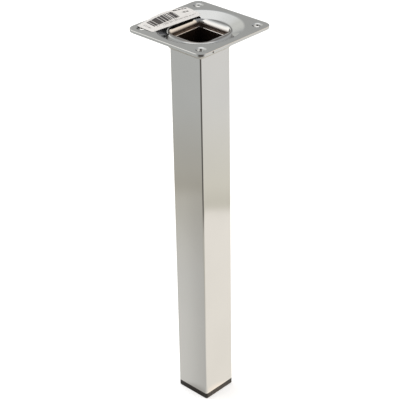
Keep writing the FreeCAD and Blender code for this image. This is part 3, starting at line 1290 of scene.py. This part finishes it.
@dataclass
class FootPlug:
    """Plastic plug: a cap as wide as the tube, and a hollow core with fins that grip inside it."""

    side: float = 25.0
    wall: float = 1.2
    corner_r: float = 1.5
    cap_height: float = 4.0
    cap_bevel: float = 0.6
    length: float = 18.0
    gap: float = 0.08
    core_inset: float = 1.3
    core_wall: float = 1.6
    core_r: float = 1.2
    fin_count: int = 4
    fin_thickness: float = 1.0
    fin_lowest: float = 2.0
    fin_bevel: float = 0.4
    fin_corner_cut: float = 0.9
    core_floor: float = 2.0
    seam_y: float = 6.8
    seam_half: float = 1.05
    seam_room: float = 0.5
    around: int = 416
    crowding: float = 0.18
    finish: PlasticFinish = MOULDED_FOOT

    def seam_relief(self, points: np.ndarray, rings: np.ndarray) -> np.ndarray:
        """Keeps the fins clear of the tube's weld seam: a cosine hollow over the seam's width.

        Args:
            points: Carried profile.
            rings: The profile's own points, which tell the fins' tips from the core.

        Returns:
            The points with the hollow.
        """
        tip = self.side / 2 - self.wall - self.gap
        inside = rings[:, 2, None] > self.cap_height + 0.5
        at_tip = np.clip((rings[:, 0, None] - (tip - 0.9)) / 0.4, 0, 1) * inside
        hollow = seam_hump(points, self.seam_y, self.seam_half + 0.3)
        return pushed(points, self.seam_room * hollow * at_tip)

    def fin(self, low: float) -> list[Bend]:
        """Profile of one fin, from its top at the core down to its underside.

        Args:
            low: Height of the fin's underside.

        Returns:
            The fin's corners, in the order of travel.
        """
        tip = self.side / 2 - self.wall - self.gap
        tip_reach = (2 * tip - self.fin_corner_cut) / ROOT2
        core = self.side / 2 - self.wall - self.core_inset
        core_reach = square_reach(core, self.core_r)
        high = low + self.fin_thickness
        edge = high - self.fin_bevel
        return [
            Bend(core, core_reach, high, 0.12, steps=2),
            Bend(tip - self.fin_bevel, tip_reach - self.fin_bevel, high, 0.1, steps=2),
            Bend(tip, tip_reach, edge, 0.1, steps=2),
            Bend(tip, tip_reach, low, 0.08, steps=2),
            Bend(core, core_reach, low, 0.12, steps=2),
        ]

    def build(self) -> bpy.types.Object:
        """Carries the plug's profile round the axis, from the hollow's floor to the underside."""
        half, reach = self.side / 2, square_reach(self.side / 2, self.corner_r)
        core = half - self.wall - self.core_inset
        core_reach = square_reach(core, self.core_r)
        hollow = core - self.core_wall
        hollow_reach = square_reach(hollow, self.core_r / 2)
        top = self.cap_height + self.length
        pitch = (self.length - self.fin_lowest - self.fin_thickness) / self.fin_count
        bends = [
            circle_bend(1.0, self.core_floor),
            Bend(hollow, hollow_reach, self.core_floor, 0.3, steps=3),
            Bend(hollow, hollow_reach, top, 0.2, steps=3),
            Bend(core, core_reach, top, 0.3, steps=3),
        ]
        for k in reversed(range(self.fin_count)):
            bends += self.fin(self.cap_height + self.fin_lowest + k * pitch)
        bends += [
            Bend(core, core_reach, self.cap_height, 0.3, steps=3),
            Bend(half, reach, self.cap_height, 0.15, steps=4, wear=0.3, fade_out=0.4),
            Bend(half, reach, 0.0, self.cap_bevel, steps=6, wear=0.6, fade_in=0.5, fade_out=0.8),
            circle_bend(1.0, 0.0),
        ]
        path = rounded_path(bends, False)
        angles = turn_angles(self.around, self.crowding)
        shell = Shell()
        rings = shell.add_sweep(path, angles, deform=self.seam_relief)
        shell.add_fan(rings[0], self.core_floor, True)
        shell.add_fan(rings[-1], 0.0, False)
        return shell.build("moulded_foot")


@dataclass
class PaperLabel:
    """Thin paper label along the plate's -X side, flat on the rim and free over the dish."""

    length: float = 39.5
    width: float = 13.3
    corner_r: float = 1.5
    thickness: float = 0.12
    middle_x: float = -20.0
    middle_y: float = -4.25
    turn: float = -0.032
    plate_top: float = 255.0
    lift: float = 0.03
    hump: float = 2.4
    hump_reach: float = 25.0
    droop: float = 1.1
    hold: float = 2.5
    arc_rows: int = 12
    straight_rows: int = 60
    columns: int = 29
    finish: PaperFinish = LABEL_PAPER

    def raised(self, along: np.ndarray, across: np.ndarray) -> np.ndarray:
        """Height of the paper over the plate's top face.

        The outer edge stands up in a low hump, a squared cosine along the label that fades in a
        straight line towards the inner edge. The inner edge is free over the dish and hangs down:
        the droop follows the square of the distance past the place where the paper still holds,
        and grows towards the label's far end.

        Args:
            along: Millimetres from the middle, along the label.
            across: Millimetres from the middle, towards the mouth.

        Returns:
            Heights in millimetres.
        """
        outer = 0.5 - across / self.width
        share = np.clip(np.abs(along) / self.hump_reach, 0, 1)
        hump = self.hump * np.cos(math.pi / 2 * share) ** 2 * outer
        free = np.clip((across + self.hold) / (self.width / 2 + self.hold), 0, 1)
        end = np.clip(along / self.length + 0.5, 0, 1)
        return self.lift + hump - self.droop * free**2 * end

    def build(self) -> bpy.types.Object:
        """Rounded rectangle as a grid of rows, with an upper and a lower skin and a rounded rim.

        A row is as wide as the rounded rectangle is there: w - (r - sqrt(r^2 - d^2)), with d the
        distance past the start of the corner's arc.
        """
        end, straight = self.length / 2, self.length / 2 - self.corner_r
        first = self.corner_r * (1 - np.cos(np.linspace(0, math.pi / 2, self.arc_rows)))
        last = self.corner_r * (1 - np.cos(np.linspace(math.pi / 2, 0, self.arc_rows)))
        middle = np.linspace(-end + self.corner_r, straight, self.straight_rows)[1:-1]
        rows = np.concatenate([-end + first, middle, end - last])
        past = np.clip(np.abs(rows) - straight, 0, self.corner_r)
        wide = self.width / 2 - self.corner_r + np.sqrt(self.corner_r**2 - past**2)
        share = np.linspace(-1, 1, self.columns)
        along = np.repeat(rows[:, None], len(share), axis=1)
        across = wide[:, None] * share[None]
        cos, sin = math.cos(self.turn), math.sin(self.turn)

        def placed(p: np.ndarray, q: np.ndarray, extra: float) -> np.ndarray:
            """Place on the leg of a point of the label, with the sheet's height above the plate."""
            x = self.middle_x + q * cos - p * sin
            y = self.middle_y + q * sin + p * cos
            return np.stack([x, y, self.plate_top + self.raised(p, q) + extra], -1)

        step = TINY_STEP
        upper = placed(along, across, self.thickness)
        d_along = placed(along + step, across, 0.0) - placed(along - step, across, 0.0)
        d_across = placed(along, across + step, 0.0) - placed(along, across - step, 0.0)
        normals = unit(np.cross(d_across, d_along))
        shell = Shell()
        top = shell.add_points(upper, normals, np.zeros(2))
        shell.add_quads(top[::-1], False, False)
        # The underside carries a bare value of 1, so it is painted dark grey as shade.
        low = shell.add_points(placed(along, across, 0.0), -normals, np.array([0.0, 1.0]))
        shell.add_quads(low, False, False)

        def border(grid: np.ndarray) -> np.ndarray:
            """Point numbers along the four sides of a grid, in one closed loop."""
            return np.concatenate([grid[0, :-1], grid[:-1, -1], grid[-1, :0:-1], grid[:0:-1, 0]])

        places = np.concatenate(shell.points)
        around = (places[border(low)] + places[border(top)]) / 2
        tangent = np.roll(around, -1, axis=0) - np.roll(around, 1, axis=0)
        outward = unit(np.cross(tangent, np.array([0.0, 0.0, 1.0])))
        rim = shell.add_points(around + outward * self.thickness / 2, outward, np.zeros(2))
        shell.add_quads(np.stack([border(top), rim, border(low)]), False, True)
        piece = shell.build("paper_label")
        flat = np.stack([along + self.length / 2, across + self.width / 2], -1).reshape(-1, 2)
        rim_flat = flat.reshape(*along.shape, 2)
        edge_flat = np.stack([border(rim_flat[..., k]) for k in range(2)], -1)
        every = np.concatenate([flat, flat, edge_flat])
        layer = piece.data.uv_layers.new(name="print")
        loop_vertex = np.empty(len(piece.data.loops), dtype=np.int32)
        piece.data.loops.foreach_get("vertex_index", loop_vertex)
        layer.data.foreach_set("uv", every[loop_vertex].reshape(-1).astype(np.float32))
        return piece


class Side(Enum):
    """Parts of the floor as the camera sees them mirrored in the leg."""

    LEFT = "left"
    RIGHT = "right"
    FRONT = "front"


# Painted light of the floor that only glossy rays see, by distance from the leg. The dark first stop on
# the left is a painted contact shadow at the leg, and the floor in front turns dark as painted shade.
FLOOR_POOLS: dict[Side, Stops] = {
    Side.LEFT: (
        (0.022, (0.35, 0.33, 0.3)),
        (0.035, (0.77, 0.76, 0.73)),
        (0.25, (0.77, 0.76, 0.73)),
        (0.45, (0.65, 0.63, 0.57)),
        (0.48, (0.52, 0.5, 0.44)),
        (0.75, (0.58, 0.59, 0.58)),
    ),
    Side.RIGHT: (
        (0.022, (1.5, 1.3, 1.1)),
        (0.035, (1.05, 1.0, 0.92)),
        (0.405, (1.1, 1.05, 0.98)),
        (0.42, (0.74, 0.71, 0.62)),
        (0.48, (0.85, 0.82, 0.73)),
        (0.75, (0.87, 0.86, 0.84)),
    ),
    Side.FRONT: (
        (0.37, (0.6, 0.58, 0.52)),
        (0.43, (0.12, 0.11, 0.1)),
    ),
}
ROOM_STOPS: Stops = (
    (0.0, (0.16, 0.17, 0.18)),
    (0.3, (0.44, 0.44, 0.44)),
    (0.38, (0.48, 0.48, 0.47)),
    (0.75, (0.52, 0.53, 0.55)),
    (1.0, (0.8, 0.8, 0.82)),
)


@dataclass(frozen=True)
class Panel:
    """Soft round panel of light or shade in the room, as a patch of the sky round one direction.

    Attributes:
        azimuth: Direction of its middle round the leg, in degrees from +X.
        height: Elevation of its middle, in degrees.
        inner: Angle from the middle up to which it is full, in degrees.
        outer: Angle at which it ends.
        colour: Its light.
    """

    azimuth: float
    height: float
    inner: float
    outer: float
    colour: Colour

    def over(self, nodes: Nodes, direction: Socket, below: Socket) -> Socket:
        """Lays the panel over the sky: a smooth step of the cosine between the two directions."""
        turn, rise = math.radians(self.azimuth), math.radians(self.height)
        axis = (math.cos(turn) * math.cos(rise), math.sin(turn) * math.cos(rise), math.sin(rise))
        product = nodes.add("ShaderNodeVectorMath", {0: direction, 1: axis}, operation="DOT_PRODUCT")
        edge, full = math.cos(math.radians(self.outer)), math.cos(math.radians(self.inner))
        return nodes.mix(nodes.remap(product.outputs["Value"], edge, full), below, self.colour)


PANELS = (
    Panel(-45.0, 60.0, 20.0, 48.0, (0.2, 0.2, 0.22)),
    Panel(120.0, 6.0, 6.0, 15.0, (0.12, 0.12, 0.13)),
    Panel(-178.0, 10.0, 12.0, 50.0, (0.9, 0.9, 0.86)),
    Panel(-166.0, 38.0, 14.0, 33.0, (1.15, 1.15, 1.15)),
    Panel(152.0, 75.0, 12.0, 32.0, (1.13, 1.13, 1.13)),
    Panel(-142.0, 25.0, 29.0, 38.0, (1.42, 1.37, 1.32)),
    Panel(45.0, 18.0, 31.0, 43.0, (1.2, 1.05, 0.9)),
)


@dataclass(frozen=True)
class Lamp:
    """Square soft lamp that points at the leg.

    Attributes:
        name: Name of the lamp.
        place: Its place, in metres.
        power: Its power, in watts.
        side: Length of its side, in metres.
        target: Place that it points at, in metres.
    """

    name: str
    place: tuple[float, float, float]
    power: float
    side: float = 1.2
    target: tuple[float, float, float] = (0.0, 0.0, 0.15)

    def build(self) -> None:
        """Hangs the lamp, which no bright surface mirrors."""
        data = bpy.data.lights.new(self.name, "AREA")
        data.shape = "SQUARE"
        data.size = self.side
        data.energy = self.power
        lamp = bpy.data.objects.new(self.name, data)
        lamp.visible_glossy = False
        lamp.location = self.place
        lamp.rotation_mode = "QUATERNION"
        beam = Vector(self.target) - Vector(self.place)
        lamp.rotation_quaternion = beam.to_track_quat("-Z", "Y")
        bpy.context.scene.collection.objects.link(lamp)


LAMPS = (Lamp("soft_key", (-0.9, -0.1, 1.7), 3.6), Lamp("soft_fill", (1.1, 0.7, 1.4), 3.4))


@dataclass(frozen=True)
class Floor:
    """Wide level floor: white to the camera, and broad fields of light to the leg's mirror.

    A place on it has two numbers besides its distance from the axis. Right is (x + y) and front is
    (x - y - front_start), both divided by that distance, so they tell a direction.

    Attributes:
        side: Half the floor's side, in metres.
        paint: Colour that takes the light and the shadow.
        glow: Light of its own that the camera sees.
        pool_radius: Distance from the axis at which the pools' stops reach 1, in metres.
        front_start: Where the front begins, as x - y, in metres.
        right_span: Values of right between which the left pool becomes the right one.
        back_span: Values of front between which the pools give way to the floor behind.
        front_span: Values of front between which they give way to the floor in front.
        shade_end: Shares of the pool radius between which the left pool's shade ends.
        shade_span: Values of x - y over which that shade grows.
        shade: Its strength.
        behind_span: Values of right between which the floor behind changes its colour.
        behind_start: Distances over which the floor behind begins, in metres.
        behind: Its colours, left and right.
    """

    side: float = 6.0
    paint: Colour = (0.8, 0.8, 0.79)
    glow: float = 0.55
    pool_radius: float = 0.6
    front_start: float = 0.03
    right_span: tuple[float, float] = (-0.5, 0.5)
    back_span: tuple[float, float] = (-0.9, -0.5)
    front_span: tuple[float, float] = (0.95, 1.3)
    shade_end: tuple[float, float] = (0.4, 0.54)
    shade_span: tuple[float, float] = (0.002, 0.028)
    shade: float = 0.2
    behind_span: tuple[float, float] = (-0.12, 0.12)
    behind_start: tuple[float, float] = (0.5, 1.0)
    behind: tuple[Colour, Colour] = ((0.5, 0.5, 0.49), (0.86, 0.88, 0.94))

    def mirrored(self, nodes: Nodes) -> Socket:
        """Painted light and shade of the floor, which only bright surfaces mirror."""
        place = nodes.add("ShaderNodeTexCoord").outputs["Object"]
        axes = nodes.add("ShaderNodeSeparateXYZ", {0: place})
        x, y = axes.outputs[0], axes.outputs[1]
        away = nodes.add("ShaderNodeVectorMath", {0: place}, operation="LENGTH").outputs["Value"]
        share = nodes.math("DIVIDE", away, self.pool_radius)
        pools = {side: nodes.ramp(share, stops) for side, stops in FLOOR_POOLS.items()}
        right = nodes.math("DIVIDE", nodes.plus(x, y), away)
        apart = nodes.math("SUBTRACT", x, y)
        front = nodes.math("DIVIDE", nodes.math("SUBTRACT", apart, self.front_start), away)
        near = nodes.remap(share, *self.shade_end, 1.0, 0.0)
        shade = nodes.times(near, nodes.remap(apart, *self.shade_span, 0.0, self.shade))
        left = nodes.mix(shade, pools[Side.LEFT], (0.0, 0.0, 0.0))
        pool = nodes.mix(nodes.remap(right, *self.right_span), left, pools[Side.RIGHT])
        far = nodes.mix(nodes.remap(right, *self.behind_span), *self.behind)
        back = nodes.mix(nodes.remap(away, *self.behind_start), pool, far)
        pool = nodes.mix(nodes.remap(front, *self.back_span, 1.0, 0.0), pool, back)
        return nodes.mix(nodes.remap(front, *self.front_span), pool, pools[Side.FRONT])

    def material(self) -> bpy.types.Material:
        """Plain paint that keeps the shadow, with the painted light and shade for glossy rays only."""
        material = bpy.data.materials.new("pale_floor")
        nodes = Nodes(blank_tree(material))
        rays = nodes.add("ShaderNodeLightPath")
        diffuse = nodes.add("ShaderNodeBsdfDiffuse", {"Color": opaque(self.paint)})
        lift = nodes.times(rays.outputs["Is Camera Ray"], self.glow)
        glow = nodes.add("ShaderNodeEmission", {"Color": WHITE, "Strength": lift})
        seen = nodes.add("ShaderNodeAddShader", {0: diffuse.outputs[0], 1: glow.outputs[0]})
        pool = nodes.add("ShaderNodeEmission", {"Color": self.mirrored(nodes), "Strength": 1.0})
        choice = {0: rays.outputs["Is Glossy Ray"], 1: seen.outputs[0], 2: pool.outputs[0]}
        either = nodes.add("ShaderNodeMixShader", choice)
        nodes.add("ShaderNodeOutputMaterial", {"Surface": either.outputs[0]})
        return material

    def build(self) -> None:
        """Lays the floor as one square."""
        corners = np.array([(-1, -1, 0), (1, -1, 0), (1, 1, 0), (-1, 1, 0)], dtype=float)
        mesh = bpy.data.meshes.new("floor")
        mesh.from_pydata((corners * self.side).tolist(), [], [(0, 1, 2, 3)])
        mesh.materials.append(self.material())
        floor = bpy.data.objects.new("floor", mesh)
        bpy.context.scene.collection.objects.link(floor)


@dataclass
class Studio:
    """Pale floor, soft light from above, and the camera at the photograph's place."""

    camera_mm: tuple[float, float, float] = (505.227, -519.984, 552.551)
    camera_right: tuple[float, float, float] = (0.72220886, 0.69146806, -0.01691993)
    camera_up: tuple[float, float, float] = (-0.33126032, 0.36725456, 0.86913215)
    camera_back: tuple[float, float, float] = (0.60719104, -0.62209003, 0.49429043)
    focal_px: float = 1353.82
    sensor_mm: float = 36.0
    clip: tuple[float, float] = (0.05, 20.0)

    def camera(self) -> None:
        """Places the camera by its three directions and gives it the measured focal length."""
        data = bpy.data.cameras.new("camera")
        data.sensor_width = self.sensor_mm
        data.lens = self.focal_px * self.sensor_mm / IMAGE_SIDE
        data.clip_start, data.clip_end = self.clip
        camera = bpy.data.objects.new("camera", data)
        columns = np.eye(4)
        columns[:3, 0] = self.camera_right
        columns[:3, 1] = self.camera_up
        columns[:3, 2] = self.camera_back
        columns[:3, 3] = np.array(self.camera_mm) * MM
        camera.matrix_world = Matrix(columns.tolist())
        bpy.context.scene.collection.objects.link(camera)
        bpy.context.scene.camera = camera

    def sky(self) -> None:
        """Room round the leg: white to the camera, and otherwise grey low down and pale above."""
        world = bpy.data.worlds.new("studio_room")
        nodes = Nodes(blank_tree(world))
        rays = nodes.add("ShaderNodeLightPath")
        direction = nodes.add("ShaderNodeTexCoord").outputs["Generated"]
        up = nodes.add("ShaderNodeSeparateXYZ", {0: direction}).outputs[2]
        light = nodes.ramp(up, ROOM_STOPS)
        for panel in PANELS:
            light = panel.over(nodes, direction, light)
        room = nodes.add("ShaderNodeBackground", {"Color": light, "Strength": 1.0})
        white = nodes.add("ShaderNodeBackground", {"Color": WHITE, "Strength": 1.0})
        choice = {0: rays.outputs["Is Camera Ray"], 1: room.outputs[0], 2: white.outputs[0]}
        either = nodes.add("ShaderNodeMixShader", choice)
        nodes.add("ShaderNodeOutputWorld", {"Surface": either.outputs[0]})
        bpy.context.scene.world = world

    def build(self) -> None:
        """Sets up everything that isn't the leg."""
        self.camera()
        Floor().build()
        self.sky()
        for lamp in LAMPS:
            lamp.build()
        bpy.context.scene.view_settings.view_transform = "Standard"


def dress(
    piece: bpy.types.Object, material: bpy.types.Material, node: str | None
) -> None:
    """Gives a piece its material and its place in the frame.

    Args:
        piece: The finished piece.
        material: Its material.
        node: CAD node that it stands for, or None where it is only in the scene.
    """
    piece.data.materials.append(material)
    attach(piece, "root")
    if node is not None:
        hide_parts(node)
    log.info("%s: %d faces for %s", piece.name, len(piece.data.polygons), node or "the scene alone")


def main() -> None:
    """Builds the leg's pieces in order, then the studio."""
    logging.basicConfig(level=logging.INFO, format="%(message)s")
    effects = Effects()
    parts = (
        (MountingPlate(), Surface.PLATE, "mounting_plate"),
        (LegTube(), Surface.TUBE, "leg_tube"),
        (CollarWeld(), Surface.WELD, "collar_weld"),
        (FootPlug(), Surface.PLASTIC, "foot_plug"),
        (PaperLabel(), Surface.PAPER, None),
    )
    for part, surface, node in parts:
        dress(part.build(), part.finish.material(effects), node)
    Studio().build()


if __name__ == "__main__":
    main()
